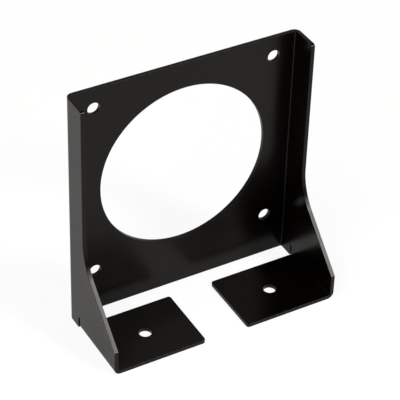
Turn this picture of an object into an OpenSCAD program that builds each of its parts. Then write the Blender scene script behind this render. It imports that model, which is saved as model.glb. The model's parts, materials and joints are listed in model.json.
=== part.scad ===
// Pump mounting bracket, folded from one sheet and coated.
// An upright plate carries the pump, two side flanges widen into gussets, and two feet turn inwards.
// Origin: midway between the two foot holes, on the surface that the feet stand on.
// +X runs across the plate, +Y from the feet towards the plate, +Z up. All sizes are in millimetres.

/* [Sheet] */
// Thickness of the sheet, with its coating
sheet_t = 2.15; // [1.5:0.05:3]
// Inside radius of the four folds
fold_r = 1.4; // [0.8:0.1:3]
// Radius of the outline's free corners
corner_r = 1.5; // [0.5:0.1:4]

/* [Plate] */
// Width over the outer faces of the flanges
plate_w = 128.5; // [120:0.5:150]
// Height of the top edge above the standing surface
plate_h = 137.5; // [134:0.5:160]
// Clearance between the standing surface and the lower edge of the plate
plate_lift = 0.5; // [0:0.1:2]

/* [Pump opening] */
// Height of the pump's axis above the standing surface
pump_axis_h = 76.2; // [70:0.2:80]
// Diameter of the round opening for the pump's body
opening_d = 93.4; // [60:0.2:104]
// Distance between the pump's screw holes, across and up
screw_pitch = 100; // [94:0.5:106]
// Diameter of the pump's screw holes
screw_hole_d = 6.6; // [4.5:0.1:9]

/* [Flanges] */
// Depth of the flanges at the top, from the rear face of the plate
flange_top_depth = 17; // [10:0.5:30]
// Depth of the flanges at the feet, from the rear face of the plate
flange_foot_depth = 51; // [46:0.5:60]
// Height at which the slanted front edge starts
toe_h = 14.4; // [8:0.2:24]
// Angle between the slanted front edge and the vertical
gusset_angle = 45; // [35:1:55]
// Radius that blends the slanted edge into the upright one
knee_r = 30; // [5:1:40]

/* [Feet] */
// Length of a foot, from the outer face of its flange inwards
foot_len = 52; // [46:0.5:56]
// Distance from the rear face of the plate to the rear edge of the feet
foot_setback = 12.65; // [9:0.05:16]
// Distance between the two foot holes
foot_hole_pitch = 73.7; // [66:0.1:80]
// Distance from the rear face of the plate to the foot holes
foot_hole_setback = 31.8; // [26:0.1:38]
// Diameter of the foot holes
foot_hole_d = 6.6; // [4.5:0.1:9]

/* [Relief slits] */
// Width of the slit that frees each foot's fold from its flange
slit_w = 1.8; // [1:0.1:3]
// Height of the slit above the standing surface
slit_h = 7.5; // [6.5:0.1:12]

/* [Hidden] */
$fn = 96;

// Segments of the large arcs, as drawn on the screen
large_arc_fn = 240;

// How far a cut reaches past the faces that it goes through
cut_past = 1;

// Faces across the width
half_w = plate_w / 2;
fold_outer_r = fold_r + sheet_t;
fold_x = half_w - fold_outer_r;
foot_tip_x = half_w - foot_len;

// Faces from front to rear
back_y = foot_hole_setback;
plate_front_y = back_y - sheet_t;
fold_y = back_y - fold_outer_r;
foot_rear_y = back_y - foot_setback;
flange_top_y = back_y - flange_top_depth;
toe_y = back_y - flange_foot_depth;
foot_depth = foot_rear_y - toe_y;

// The knee, where the slanted edge meets the upright one, and the arc that blends them
knee_h = toe_h + (flange_foot_depth - flange_top_depth) / tan(gusset_angle);
knee_tangent = knee_r * tan(gusset_angle / 2);

// Stand-in colour of the coated sheet
sheet_colour = [0.05, 0.05, 0.05];

// Quarter ring of a fold around the origin, in the first quadrant
module fold_section() {
    intersection() {
        difference() {
            circle(r = fold_outer_r);
            circle(r = fold_r);
        }
        square(fold_outer_r + cut_past);
    }
}

// What is cut off a square corner to round it: the arc's centre is at the origin, the corner at (r, r)
module corner_trim() {
    difference() {
        square(corner_r + cut_past);
        circle(r = corner_r);
    }
}

// Plan view of one half of the channel: half of the plate, a fold and a flange
module half_channel_section() {
    translate([0, plate_front_y])
        square([fold_x, sheet_t]);
    translate([fold_x, fold_y])
        fold_section();
    translate([fold_x + fold_r, toe_y])
        square([sheet_t, fold_y - toe_y]);
}

// Plan view of the channel
module channel_section() {
    half_channel_section();
    mirror([1, 0])
        half_channel_section();
}

// Web between the slanted and the upright edge, bounded by the blending arc
module knee_blend() {
    arc_centre = [flange_top_y - knee_r, knee_h + knee_tangent];
    difference() {
        polygon([
            [flange_top_y, knee_h],
            [flange_top_y, arc_centre[1]],
            arc_centre,
            [flange_top_y - knee_tangent * sin(gusset_angle), knee_h - knee_tangent * cos(gusset_angle)]
        ]);
        translate(arc_centre)
            circle(r = knee_r, $fn = large_arc_fn);
    }
}

// Side view of the channel: gusset, knee, rounded top corner, and the notch over each foot's fold
module side_outline() {
    difference() {
        union() {
            polygon([
                [back_y + cut_past, plate_lift],
                [foot_rear_y, plate_lift],
                [foot_rear_y, fold_outer_r],
                [toe_y, fold_outer_r],
                [toe_y, toe_h],
                [flange_top_y, knee_h],
                [flange_top_y, plate_h],
                [back_y + cut_past, plate_h]
            ]);
            knee_blend();
        }
        translate([flange_top_y + corner_r, plate_h - corner_r])
            mirror([1, 0])
                corner_trim();
        translate([foot_rear_y, 0])
            square([slit_w, slit_h]);
    }
}

// Plate, side folds and flanges: the plan view raised, and trimmed to the side view
module channel() {
    intersection() {
        linear_extrude(plate_h + cut_past)
            channel_section();
        rotate([90, 0, 90])
            linear_extrude(plate_w + 2 * cut_past, center = true)
                side_outline();
    }
}

// End view of the +X side: the lower end of the flange, its fold and the flat foot
module foot_section() {
    translate([fold_x + fold_r, fold_outer_r])
        square([sheet_t, toe_h - fold_outer_r]);
    translate([fold_x, fold_outer_r])
        mirror([0, 1])
            fold_section();
    translate([foot_tip_x, 0])
        square([fold_x - foot_tip_x, sheet_t]);
}

// Foot on the +X side: the end view drawn out to the foot's depth, with the two free corners rounded
module foot() {
    difference() {
        translate([0, foot_rear_y, 0])
            rotate([90, 0, 0])
                linear_extrude(foot_depth)
                    foot_section();
        translate([foot_tip_x + corner_r, foot_rear_y - corner_r, -cut_past])
            linear_extrude(sheet_t + 2 * cut_past)
                mirror([1, 0])
                    corner_trim();
        translate([foot_tip_x + corner_r, toe_y + corner_r, -cut_past])
            linear_extrude(sheet_t + 2 * cut_past)
                rotate(180)
                    corner_trim();
    }
}

// Round opening for the pump's body, with the four screw holes around it
module pump_holes() {
    translate([0, back_y + cut_past, pump_axis_h])
        rotate([90, 0, 0]) {
            cylinder(d = opening_d, h = sheet_t + 2 * cut_past, $fn = large_arc_fn);
            for (sx = [-1, 1], sz = [-1, 1])
                translate([sx * screw_pitch / 2, sz * screw_pitch / 2, 0])
                    cylinder(d = screw_hole_d, h = sheet_t + 2 * cut_past);
        }
}

// Holes that fasten the feet down
module foot_holes() {
    for (sx = [-1, 1])
        translate([sx * foot_hole_pitch / 2, 0, -cut_past])
            cylinder(d = foot_hole_d, h = sheet_t + 2 * cut_past);
}

// The whole bracket: one sheet with four folds
module bracket() {
    color(sheet_colour)
        difference() {
            union() {
                channel();
                foot();
                mirror([1, 0, 0])
                    foot();
            }
            pump_holes();
            foot_holes();
        }
}

bracket();
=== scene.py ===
"""Pump mounting bracket, folded from one sheet and powder coated, on a pale studio floor.

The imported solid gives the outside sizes, and its mounts give the holes and the thickness. The
bracket is modelled again over it, as one sheet with softened edges and tighter folds, and dressed
with a satin black coat. Lengths are in metres. +X runs across the plate, +Y from the feet towards
the plate, and +Z up.
"""

import json
import logging
import math
from collections.abc import Callable
from dataclasses import dataclass
from enum import Enum

import bmesh
import bpy
from mathutils import Matrix, Vector


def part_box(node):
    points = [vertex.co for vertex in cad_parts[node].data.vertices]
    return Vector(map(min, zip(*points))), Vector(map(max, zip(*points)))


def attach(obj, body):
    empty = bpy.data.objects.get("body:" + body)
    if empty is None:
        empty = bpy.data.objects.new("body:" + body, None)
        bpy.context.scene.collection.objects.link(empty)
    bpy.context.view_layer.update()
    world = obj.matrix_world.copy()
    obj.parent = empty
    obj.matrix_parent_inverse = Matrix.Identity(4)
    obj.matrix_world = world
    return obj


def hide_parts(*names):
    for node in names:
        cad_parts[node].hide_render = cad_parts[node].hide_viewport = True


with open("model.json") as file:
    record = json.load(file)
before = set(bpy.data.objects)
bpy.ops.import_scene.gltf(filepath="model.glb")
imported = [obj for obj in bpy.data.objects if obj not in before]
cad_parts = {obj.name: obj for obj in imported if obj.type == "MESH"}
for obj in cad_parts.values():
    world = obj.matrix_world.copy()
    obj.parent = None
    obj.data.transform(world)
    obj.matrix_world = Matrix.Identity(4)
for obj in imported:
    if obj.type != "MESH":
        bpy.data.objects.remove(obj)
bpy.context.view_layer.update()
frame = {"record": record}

log = logging.getLogger("bracket")
logging.basicConfig(level=logging.INFO, format="%(name)s: %(message)s")

Triple = tuple[float, float, float]
Colour = tuple[float, float, float]
Pick = Callable[[Vector], bool]

MM = 0.001
NEAR = 1e-6
QUARTER_TURN = math.radians(90)

# The two directions from the middle, across the bracket or up and down
SIDES = (-1, 1)

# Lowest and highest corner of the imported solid, and its mounts by name
LOWEST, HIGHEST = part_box("bracket")
MOUNTS = {mount["name"]: mount for mount in frame["record"]["mounts"]}


def mount_size(mount: str, size: str) -> float:
    """Size of a mount in metres, from the record's millimetres."""
    return MOUNTS[mount]["dims"][size] * MM


class Axis(Enum):
    """The three directions of the frame."""

    X = (1.0, 0.0, 0.0)
    Y = (0.0, 1.0, 0.0)
    Z = (0.0, 0.0, 1.0)


@dataclass(frozen=True)
class SheetGauge:
    """What all fields of the folded sheet share."""

    thickness: float = mount_size("pump_opening", "length_mm")
    # Inside radius of the folds as the solid has it, and the tighter one that it is drawn in to
    fold_inner: float = 1.4 * MM
    crease: float = 0.7 * MM
    # How far a corner may lie from the inner arc and still belong to it
    arc_tolerance: float = 0.02 * MM
    # Radius of the outline's free corners
    corner: float = 1.5 * MM
    # Width of the band of faces along the edges of each flat field
    band: float = 0.7 * MM
    # Rounding of the cut edges, and the least angle at which an edge is rounded
    edge_softness: float = 0.1 * MM
    edge_angle: float = math.radians(35)
    edge_segments: int = 3
    fold_steps: int = 12
    corner_steps: int = 8
    hole_corners: int = 40

    @property
    def fold_outer(self) -> float:
        """Outer radius of a fold."""
        return self.fold_inner + self.thickness

    @property
    def mid(self) -> float:
        """Half of the thickness, from a face to the middle of the sheet."""
        return self.thickness / 2


@dataclass(frozen=True)
class RoundHole:
    """A round hole, by its centre, radius and number of corners."""

    centre: Triple
    radius: float
    corners: int


class Bench:
    """Edit-mode work on one mesh: corners are picked by their place, then shaped by operators."""

    def __init__(self, name: str, size: tuple[float, float], centre: Triple, turn: Triple) -> None:
        """Starts a mesh from a plane.

        Args:
            name: Name of the object and its mesh.
            size: Width and height of the plane.
            centre: Place of its middle.
            turn: Its rotation, in radians.
        """
        bpy.ops.object.select_all(action="DESELECT")
        bpy.ops.mesh.primitive_plane_add(size=1, location=centre, rotation=turn)
        self.piece = bpy.context.object
        self.piece.scale = (*size, 1)
        self.piece.name = name
        self.piece.data.name = name
        bpy.ops.object.transform_apply(location=True, rotation=True, scale=True)
        bpy.ops.object.mode_set(mode="EDIT")
        bpy.ops.mesh.select_mode(type="VERT")

    def pick(self, wanted: Pick) -> int:
        """Selects the corners whose place is wanted, and nothing else.

        Args:
            wanted: Says of a place whether a corner there is picked.

        Returns:
            How many corners were picked.
        """
        bpy.ops.mesh.select_all(action="DESELECT")
        mesh = bmesh.from_edit_mesh(self.piece.data)
        for corner in mesh.verts:
            corner.select_set(wanted(corner.co))
        mesh.select_flush(True)
        bmesh.update_edit_mesh(self.piece.data)
        return sum(corner.select for corner in mesh.verts)

    def pick_at(self, place: Triple) -> None:
        """Selects the one corner at a place.

        Args:
            place: Where the corner stands.

        Raises:
            ValueError: If none stands there, or more than one.
        """
        target = Vector(place)
        found = self.pick(lambda co: (co - target).length < NEAR)
        if found != 1:
            raise ValueError(f"{found} corners stand at {place}, where one is expected")

    def circle(self, hole: RoundHole, turn: Triple) -> None:
        """Adds the outline of a hole, and leaves it selected.

        Args:
            hole: The hole.
            turn: Rotation of its plane, in radians.
        """
        bpy.ops.mesh.select_all(action="DESELECT")
        bpy.ops.mesh.primitive_circle_add(
            vertices=hole.corners, radius=hole.radius, location=hole.centre, rotation=turn
        )

    def line(self, step: Triple) -> None:
        """Draws a straight edge from the selected corner."""
        bpy.ops.mesh.extrude_vertices_move(TRANSFORM_OT_translate={"value": step})

    def arc(self, centre: Triple, axis: Axis, angle: float, steps: int) -> None:
        """Draws an arc from what is selected, or folds a surface from selected edges.

        Args:
            centre: A point on the axis.
            axis: Direction of the axis.
            angle: Turn about the axis by the right-hand rule, in radians.
            steps: Number of straight steps.
        """
        # Without a window, spin turns by the left-hand rule, so the angle changes its sign
        bpy.ops.mesh.spin(steps=steps, angle=-angle, center=centre, axis=axis.value, dupli=False)

    def join_doubles(self) -> None:
        """Merges corners that stand on the same place."""
        bpy.ops.mesh.select_all(action="SELECT")
        bpy.ops.mesh.remove_doubles(threshold=NEAR)

    def fill_field(self, wanted: Pick, band: float) -> None:
        """Fills a flat outline, with its holes, and runs a band of even width inside its edges.

        Args:
            wanted: Says which corners belong to the field.
            band: Width of the band.
        """
        self.pick(wanted)
        bpy.ops.mesh.fill(use_beauty=True)
        bpy.ops.mesh.inset(thickness=band, use_boundary=True, use_even_offset=True)

    def draw_in(self, wanted: Pick, centre: Triple, share: Triple) -> None:
        """Draws corners towards a point.

        Args:
            wanted: Says which corners are drawn.
            centre: The point.
            share: What is left of their distance from it, along each axis.

        Raises:
            ValueError: If no corner is wanted.
        """
        if not self.pick(wanted):
            raise ValueError(f"no corners to draw towards {centre}")
        bpy.ops.transform.resize(value=share, center_override=centre)

    def close(self) -> bpy.types.Object:
        """Leaves edit mode, and returns the object."""
        bpy.ops.object.mode_set(mode="OBJECT")
        return self.piece


@dataclass(frozen=True)
class PumpPlate:
    """The upright plate, with its opening and the four screw holes around it."""

    gauge: SheetGauge
    half_width: float = HIGHEST.x
    back: float = HIGHEST.y
    top: float = HIGHEST.z
    # Clearance between the standing surface and the lower edge
    lift: float = 0.5 * MM
    pump_axis: float = MOUNTS["pump_opening"]["pos_m"][2]
    opening_radius: float = mount_size("pump_opening", "r_mm")
    opening_corners: int = 144
    screw_pitch: float = mount_size("pump_screws", "spacing_x_mm")
    screw_radius: float = mount_size("pump_screws", "hole_r_mm")
    # Steps along each side of the outline
    rows: int = 24

    @property
    def fold_x(self) -> float:
        """Distance from the middle at which the side folds start."""
        return self.half_width - self.gauge.fold_outer

    @property
    def fold_y(self) -> float:
        """Where the side folds end and the flanges start."""
        return self.back - self.gauge.fold_outer

    @property
    def mid_y(self) -> float:
        """Middle of the plate's thickness."""
        return self.back - self.gauge.mid

    def holes(self) -> list[RoundHole]:
        """Places the opening and its screw holes.

        Returns:
            The opening, then the four screw holes.
        """
        half = self.screw_pitch / 2
        middle = (0, self.mid_y, self.pump_axis)
        rounds = [RoundHole(middle, self.opening_radius, self.opening_corners)]
        for side in SIDES:
            for rise in SIDES:
                centre = (side * half, self.mid_y, self.pump_axis + rise * half)
                rounds.append(RoundHole(centre, self.screw_radius, self.gauge.hole_corners))
        return rounds

    def start(self, name: str) -> Bench:
        """Draws the plate's outline and holes, and fills it.

        Args:
            name: Name of the piece.

        Returns:
            The bench with the flat plate on it.
        """
        turn = (QUARTER_TURN, 0, 0)
        size = (2 * self.fold_x, self.top - self.lift)
        bench = Bench(name, size, (0, self.mid_y, (self.top + self.lift) / 2), turn)
        bpy.ops.mesh.select_all(action="SELECT")
        bpy.ops.mesh.delete(type="ONLY_FACE")
        bpy.ops.mesh.select_all(action="SELECT")
        bpy.ops.mesh.subdivide(number_cuts=self.rows - 1)
        for hole in self.holes():
            bench.circle(hole, turn)
        bench.fill_field(lambda co: True, self.gauge.band)
        return bench


@dataclass(frozen=True)
class SideFlange:
    """The flange on the +X side, from the plate's fold to the gusset's toe.

    Its depth and the foot's setback are measured from the rear face of the plate.
    """

    plate: PumpPlate
    top_depth: float = 17 * MM
    toe_y: float = LOWEST.y
    toe_height: float = 14.4 * MM
    # Angle between the slanted front edge and the upright one, and the arc that blends them
    slant: float = math.radians(45)
    knee_radius: float = 30 * MM
    knee_steps: int = 32
    foot_setback: float = 12.65 * MM
    slit_width: float = 1.8 * MM
    slit_height: float = 7.5 * MM

    @property
    def mid_x(self) -> float:
        """Middle of the flange's thickness."""
        return self.plate.half_width - self.plate.gauge.mid

    @property
    def foot_rear_y(self) -> float:
        """Rear edge of the foot."""
        return self.plate.back - self.foot_setback

    def add(self, bench: Bench) -> None:
        """Folds the flange forward from the plate, and draws and fills its outline.

        Args:
            bench: The bench with the plate on it.
        """
        plate, gauge = self.plate, self.plate.gauge
        bench.pick(lambda co: abs(co.x - plate.fold_x) < NEAR)
        bench.arc((plate.fold_x, plate.fold_y, 0), Axis.Z, -QUARTER_TURN, gauge.fold_steps)
        bench.pick_at((self.mid_x, plate.fold_y, plate.top))
        self._draw_front(bench)
        self._draw_lower_side(bench)
        bench.join_doubles()
        bench.fill_field(
            lambda co: abs(co.x - self.mid_x) < NEAR and co.y < plate.fold_y + NEAR, gauge.band
        )

    def _draw_front(self, bench: Bench) -> None:
        """Draws the top edge, its rounded corner, the upright edge, the knee, the slant and the toe.

        Args:
            bench: The bench, with the top corner of the side fold selected.
        """
        plate, gauge = self.plate, self.plate.gauge
        front_y = plate.back - self.top_depth
        corner = (self.mid_x, front_y + gauge.corner, plate.top - gauge.corner)
        bench.line((0, front_y + gauge.corner - plate.fold_y, 0))
        bench.arc(corner, Axis.X, QUARTER_TURN, gauge.corner_steps)

        reach = front_y - self.toe_y
        tangent = self.knee_radius * math.tan(self.slant / 2)
        knee_top = self.toe_height + reach / math.tan(self.slant) + tangent
        bench.line((0, 0, knee_top - (plate.top - gauge.corner)))
        knee = (self.mid_x, front_y - self.knee_radius, knee_top)
        bench.arc(knee, Axis.X, -self.slant, self.knee_steps)
        run = reach - tangent * math.sin(self.slant)
        bench.line((0, -run, -run / math.tan(self.slant)))
        bench.line((0, 0, gauge.fold_outer - self.toe_height))

    def _draw_lower_side(self, bench: Bench) -> None:
        """Draws the line of the foot's fold, the relief slit and the lower edge behind it.

        Args:
            bench: The bench, with the toe's lower corner selected.
        """
        plate, gauge = self.plate, self.plate.gauge
        bench.line((0, self.foot_rear_y - self.toe_y, 0))
        bench.line((0, 0, self.slit_height - gauge.fold_outer))
        bench.line((0, self.slit_width, 0))
        bench.line((0, 0, plate.lift - self.slit_height))
        bench.line((0, plate.fold_y - self.foot_rear_y - self.slit_width, 0))


@dataclass(frozen=True)
class ScrewFoot:
    """The foot on the +X side, folded inwards from the flange's lower edge."""

    flange: SideFlange
    # From the outer face of the flange inwards
    length: float = 52 * MM
    hole_pitch: float = mount_size("foot_holes", "spacing_x_mm")
    hole_radius: float = mount_size("foot_holes", "hole_r_mm")

    def add(self, bench: Bench) -> None:
        """Folds the foot inwards, and draws and fills its outline with its hole.

        Args:
            bench: The bench with the plate and the flange on it.
        """
        flange, plate, gauge = self.flange, self.flange.plate, self.flange.plate.gauge
        rear, toe = flange.foot_rear_y, flange.toe_y
        tip = plate.half_width - self.length + gauge.corner
        bench.pick(
            lambda co: abs(co.x - flange.mid_x) < NEAR
            and abs(co.z - gauge.fold_outer) < NEAR
            and co.y < rear + NEAR
        )
        bench.arc((plate.fold_x, 0, gauge.fold_outer), Axis.Y, QUARTER_TURN, gauge.fold_steps)

        bench.pick_at((plate.fold_x, rear, gauge.mid))
        bench.line((tip - plate.fold_x, 0, 0))
        rear_corner = (tip, rear - gauge.corner, gauge.mid)
        bench.arc(rear_corner, Axis.Z, QUARTER_TURN, gauge.corner_steps)
        bench.line((0, toe - rear + 2 * gauge.corner, 0))
        front_corner = (tip, toe + gauge.corner, gauge.mid)
        bench.arc(front_corner, Axis.Z, QUARTER_TURN, gauge.corner_steps)
        bench.line((plate.fold_x - tip, 0, 0))
        bench.join_doubles()
        hole = RoundHole((self.hole_pitch / 2, 0, gauge.mid), self.hole_radius, gauge.hole_corners)
        bench.circle(hole, (0, 0, 0))
        bench.fill_field(
            lambda co: abs(co.z - gauge.mid) < NEAR and co.x < plate.fold_x + NEAR, gauge.band
        )


@dataclass(frozen=True)
class PowderCoat:
    """Satin black powder coat, with a fine orange peel and slightly uneven gloss."""

    name: str = "satin_black_coat"
    colour: Colour = (0.0011, 0.0006, 0.0003)
    # Index of refraction, low because the coat mirrors little
    index: float = 1.25
    # Roughness of the glossiest and the dullest patches, and the noise that belongs to each
    roughness: tuple[float, float] = (0.23, 0.27)
    patch_span: tuple[float, float] = (0.3, 0.7)
    patch_scale: float = 45.0
    peel_scale: float = 900.0
    peel_detail: float = 1.0
    peel_strength: float = 0.5
    peel_depth: float = 0.01 * MM

    def material(self) -> bpy.types.Material:
        """Builds the coat's material.

        Returns:
            The material, driven by the piece's own coordinates.
        """
        made = bpy.data.materials.new(self.name)
        made.use_nodes = True
        nodes, links = made.node_tree.nodes, made.node_tree.links
        shader = nodes["Principled BSDF"]
        shader.inputs["Base Color"].default_value = (*self.colour, 1)
        shader.inputs["IOR"].default_value = self.index
        place = nodes.new("ShaderNodeTexCoord")
        patches = nodes.new("ShaderNodeTexNoise")
        patches.inputs["Scale"].default_value = self.patch_scale
        links.new(place.outputs["Object"], patches.inputs["Vector"])
        gloss = nodes.new("ShaderNodeMapRange")
        gloss.inputs["From Min"].default_value, gloss.inputs["From Max"].default_value = self.patch_span
        gloss.inputs["To Min"].default_value, gloss.inputs["To Max"].default_value = self.roughness
        links.new(patches.outputs["Fac"], gloss.inputs["Value"])
        links.new(gloss.outputs["Result"], shader.inputs["Roughness"])
        peel = nodes.new("ShaderNodeTexNoise")
        peel.inputs["Scale"].default_value = self.peel_scale
        peel.inputs["Detail"].default_value = self.peel_detail
        links.new(place.outputs["Object"], peel.inputs["Vector"])
        bump = nodes.new("ShaderNodeBump")
        bump.inputs["Distance"].default_value = self.peel_depth
        bump.inputs["Strength"].default_value = self.peel_strength
        links.new(peel.outputs["Fac"], bump.inputs["Height"])
        links.new(bump.outputs["Normal"], shader.inputs["Normal"])
        return made


@dataclass(frozen=True)
class FoldedBracket:
    """The whole bracket: plate, flanges and feet as one sheet."""

    gauge: SheetGauge = SheetGauge()
    coat: PowderCoat = PowderCoat()

    def build(self) -> bpy.types.Object:
        """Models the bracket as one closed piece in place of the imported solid.

        Returns:
            The finished piece.
        """
        flange = SideFlange(PumpPlate(self.gauge))
        bench = flange.plate.start("folded_sheet")
        flange.add(bench)
        ScrewFoot(flange).add(bench)
        self._keep_right_half()
        piece = bench.close()
        self._mirror(piece)
        self._thicken(piece)
        self._tighten_folds(bench, flange)
        self._soften(piece)
        piece.data.materials.append(self.coat.material())
        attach(piece, "root")
        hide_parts("bracket")
        return piece

    def _keep_right_half(self) -> None:
        """Cuts the sheet at the middle of the plate and drops the left half."""
        bpy.ops.mesh.select_all(action="SELECT")
        bpy.ops.mesh.bisect(plane_co=(0, 0, 0), plane_no=(1, 0, 0), clear_inner=True)

    def _mirror(self, piece: bpy.types.Object) -> None:
        """Adds the left half, and turns all faces the same way.

        Args:
            piece: The right half of the sheet.
        """
        self._apply(piece, "MIRROR", use_axis=(True, False, False), merge_threshold=NEAR)
        self._turn_outwards()

    def _thicken(self, piece: bpy.types.Object) -> None:
        """Gives the sheet its thickness, half to each side.

        Args:
            piece: The whole sheet, still without thickness.
        """
        self._apply(
            piece,
            "SOLIDIFY",
            thickness=self.gauge.thickness,
            offset=0,
            use_even_offset=True,
            use_quality_normals=True,
        )
        self._turn_outwards()

    def _tighten_folds(self, bench: Bench, flange: SideFlange) -> None:
        """Draws the inside of each fold towards the corner of the two faces that it joins.

        Args:
            bench: The bench with the whole sheet on it.
            flange: The flange, for the places of the folds.
        """
        bpy.ops.object.mode_set(mode="EDIT")
        for side in SIDES:
            self._tighten_side(bench, flange, side)
        bench.close()

    def _tighten_side(self, bench: Bench, flange: SideFlange, side: int) -> None:
        """Tightens the side fold and the foot's fold of one side.

        Args:
            bench: The bench, in edit mode.
            flange: The flange, for the places of the folds.
            side: 1 for the +X side, -1 for the other.
        """
        gauge, plate = self.gauge, flange.plate
        axis = Vector((side * plate.fold_x, plate.fold_y, gauge.fold_outer))
        corner_x = side * (plate.fold_x + gauge.fold_inner)
        corner = (corner_x, plate.fold_y + gauge.fold_inner, gauge.thickness)
        share = gauge.crease / gauge.fold_inner
        bench.draw_in(
            lambda co: co.y > plate.fold_y - NEAR
            and self._on_inner_arc(co.x - axis.x, co.y - axis.y),
            corner,
            (share, share, 1),
        )
        bench.draw_in(
            lambda co: co.y < flange.foot_rear_y + NEAR
            and co.z < gauge.fold_outer + NEAR
            and self._on_inner_arc(co.x - axis.x, co.z - axis.z),
            corner,
            (share, 1, share),
        )

    def _on_inner_arc(self, across: float, off: float) -> bool:
        """Says of a place, given from a fold's axis, whether it lies on the fold's inner arc."""
        return abs(math.hypot(across, off) - self.gauge.fold_inner) < self.gauge.arc_tolerance

    def _soften(self, piece: bpy.types.Object) -> None:
        """Rounds the cut edges, as the coat does, and shades flat fields flat.

        Args:
            piece: The closed sheet.
        """
        self._apply(
            piece,
            "BEVEL",
            width=self.gauge.edge_softness,
            segments=self.gauge.edge_segments,
            limit_method="ANGLE",
            angle_limit=self.gauge.edge_angle,
            use_clamp_overlap=False,
        )
        bpy.ops.object.shade_smooth()
        self._apply(piece, "WEIGHTED_NORMAL")

    @staticmethod
    def _apply(piece: bpy.types.Object, kind: str, **settings: object) -> None:
        """Adds a modifier to the active piece and applies it.

        Args:
            piece: The active piece.
            kind: Type of the modifier.
            **settings: Its settings, by name.
        """
        modifier = piece.modifiers.new(kind.lower(), kind)
        for name, value in settings.items():
            setattr(modifier, name, value)
        bpy.ops.object.modifier_apply(modifier=modifier.name)

    @staticmethod
    def _turn_outwards() -> None:
        """Turns all faces of the active piece the same way, outwards once it is closed."""
        bpy.ops.object.mode_set(mode="EDIT")
        bpy.ops.mesh.select_all(action="SELECT")
        bpy.ops.mesh.normals_make_consistent(inside=False)
        bpy.ops.object.mode_set(mode="OBJECT")


@dataclass(frozen=True)
class StudioCamera:
    """The camera, by its place and its angles, with lens and sensor width in millimetres."""

    place: Triple = (-0.37082, -0.61660, 0.62960)
    azimuth: float = math.radians(30.528)
    dip: float = math.radians(37.689)
    roll: float = math.radians(1.906)
    lens: float = 166.2
    sensor: float = 36.0
    clip_start: float = 0.01
    clip_end: float = 20.0

    def set_up(self) -> None:
        """Makes the camera and hands it to the scene."""
        data = bpy.data.cameras.new("camera")
        data.sensor_width = self.sensor
        data.lens = self.lens
        data.clip_start = self.clip_start
        data.clip_end = self.clip_end
        camera = bpy.data.objects.new("camera", data)
        bpy.context.scene.collection.objects.link(camera)
        camera.matrix_world = Matrix.Translation(self.place) @ self._turn()
        bpy.context.scene.camera = camera

    def _turn(self) -> Matrix:
        """Works out the camera's rotation from its angles.

        Returns:
            The rotation, as a matrix of four rows.
        """
        ahead = Vector(
            (
                math.sin(self.azimuth) * math.cos(self.dip),
                math.cos(self.azimuth) * math.cos(self.dip),
                -math.sin(self.dip),
            )
        )
        level = Vector((math.cos(self.azimuth), -math.sin(self.azimuth), 0))
        above = level.cross(ahead)
        right = level * math.cos(self.roll) + above * math.sin(self.roll)
        up = above * math.cos(self.roll) - level * math.sin(self.roll)
        return Matrix((right, up, -ahead)).transposed().to_4x4()


@dataclass(frozen=True)
class SoftBox:
    """A soft rectangular lamp that faces the object, with its power in watts."""

    name: str
    place: Triple
    size: tuple[float, float]
    power: float
    target: Triple = (0.0, 0.0, 60 * MM)
    colour: Colour = (1.0, 0.98, 0.95)

    def hang(self) -> None:
        """Makes the lamp and turns it to its target."""
        data = bpy.data.lights.new(self.name, "AREA")
        data.shape = "RECTANGLE"
        data.size, data.size_y = self.size
        data.energy = self.power
        data.color = self.colour
        lamp = bpy.data.objects.new(self.name, data)
        lamp.location = self.place
        ahead = Vector(self.target) - Vector(self.place)
        lamp.rotation_euler = ahead.to_track_quat("-Z", "Y").to_euler()
        bpy.context.scene.collection.objects.link(lamp)


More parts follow.
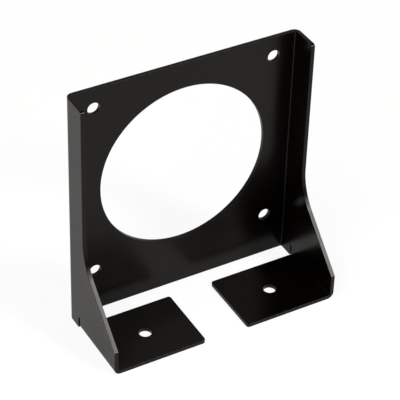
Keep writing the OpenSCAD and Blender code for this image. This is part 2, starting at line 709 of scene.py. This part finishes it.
@dataclass(frozen=True)
class Studio:
    """White floor in a dim room, with soft lamps in front on the right and a wide one on the left."""

    floor_size: float = 8.0
    floor_colour: Colour = (0.91, 0.91, 0.91)
    # Share of the floor's own glow in what the camera sees, and in what the coat mirrors
    floor_glow: float = 0.87
    mirrored_glow: float = 0.25
    # Colour of the room ahead of the object and behind it, and the Y of a direction at each
    room_front: Colour = (0.06, 0.06, 0.06)
    room_rear: Colour = (0.55, 0.53, 0.52)
    room_span: tuple[float, float] = (0.0, 0.6)
    lamps: tuple[SoftBox, ...] = (
        SoftBox("key_softbox", place=(1.19, -2.02, 1.93), size=(0.63, 0.79), power=56.0),
        SoftBox("low_softbox", place=(1.25, -2.45, 1.30), size=(0.63, 0.79), power=22.0),
        SoftBox("fill_softbox", place=(-0.90, -0.42, 1.26), size=(0.9, 0.9), power=19.5),
    )

    def set_up(self) -> None:
        """Builds the floor, the surroundings and the lamps."""
        scene = bpy.context.scene
        scene.view_settings.view_transform = "Standard"
        bpy.ops.object.select_all(action="DESELECT")
        bpy.ops.mesh.primitive_plane_add(size=self.floor_size, location=(0, 0, 0))
        floor = bpy.context.object
        floor.name = "floor"
        floor.data.materials.append(self._floor_finish())
        scene.world = self._dim_room()
        for lamp in self.lamps:
            lamp.hang()

    def _floor_finish(self) -> bpy.types.Material:
        """Builds a matt white that keeps a faint shadow.

        Returns:
            The material, with a glow that only the camera and mirroring or clear pieces see.
        """
        made = bpy.data.materials.new("white_floor")
        made.use_nodes = True
        nodes, links = made.node_tree.nodes, made.node_tree.links
        nodes.remove(nodes["Principled BSDF"])
        matt = nodes.new("ShaderNodeBsdfDiffuse")
        matt.inputs["Color"].default_value = (*self.floor_colour, 1)
        glow = nodes.new("ShaderNodeEmission")
        ray = nodes.new("ShaderNodeLightPath")
        mirrored = nodes.new("ShaderNodeMath")
        mirrored.operation = "MAXIMUM"
        links.new(ray.outputs["Is Glossy Ray"], mirrored.inputs[0])
        links.new(ray.outputs["Is Transmission Ray"], mirrored.inputs[1])
        mirrored_share = nodes.new("ShaderNodeMath")
        mirrored_share.operation = "MULTIPLY"
        mirrored_share.inputs[1].default_value = self.mirrored_glow
        links.new(mirrored.outputs["Value"], mirrored_share.inputs[0])
        share = nodes.new("ShaderNodeMath")
        share.operation = "MULTIPLY_ADD"
        share.inputs[1].default_value = self.floor_glow
        links.new(ray.outputs["Is Camera Ray"], share.inputs[0])
        links.new(mirrored_share.outputs["Value"], share.inputs[2])
        both = nodes.new("ShaderNodeMixShader")
        links.new(share.outputs["Value"], both.inputs["Fac"])
        links.new(matt.outputs["BSDF"], both.inputs[1])
        links.new(glow.outputs["Emission"], both.inputs[2])
        links.new(both.outputs["Shader"], nodes["Material Output"].inputs["Surface"])
        return made

    def _dim_room(self) -> bpy.types.World:
        """Builds a dim room that is paler behind the object than in front of it.

        Returns:
            The world.
        """
        room = bpy.data.worlds.new("dim_room")
        room.use_nodes = True
        nodes, links = room.node_tree.nodes, room.node_tree.links
        place = nodes.new("ShaderNodeTexCoord")
        parts = nodes.new("ShaderNodeSeparateXYZ")
        links.new(place.outputs["Generated"], parts.inputs["Vector"])
        depth = nodes.new("ShaderNodeMapRange")
        depth.inputs["From Min"].default_value, depth.inputs["From Max"].default_value = self.room_span
        links.new(parts.outputs["Y"], depth.inputs["Value"])
        tone = nodes.new("ShaderNodeMix")
        tone.data_type = "RGBA"
        tone.inputs["A"].default_value = (*self.room_front, 1)
        tone.inputs["B"].default_value = (*self.room_rear, 1)
        links.new(depth.outputs["Result"], tone.inputs["Factor"])
        links.new(tone.outputs["Result"], nodes["Background"].inputs["Color"])
        return room


def main() -> None:
    """Builds the bracket, the camera and the studio."""
    piece = FoldedBracket().build()
    log.info("%s: %d faces", piece.name, len(piece.data.polygons))
    StudioCamera().set_up()
    Studio().set_up()


if __name__ == "__main__":
    main()
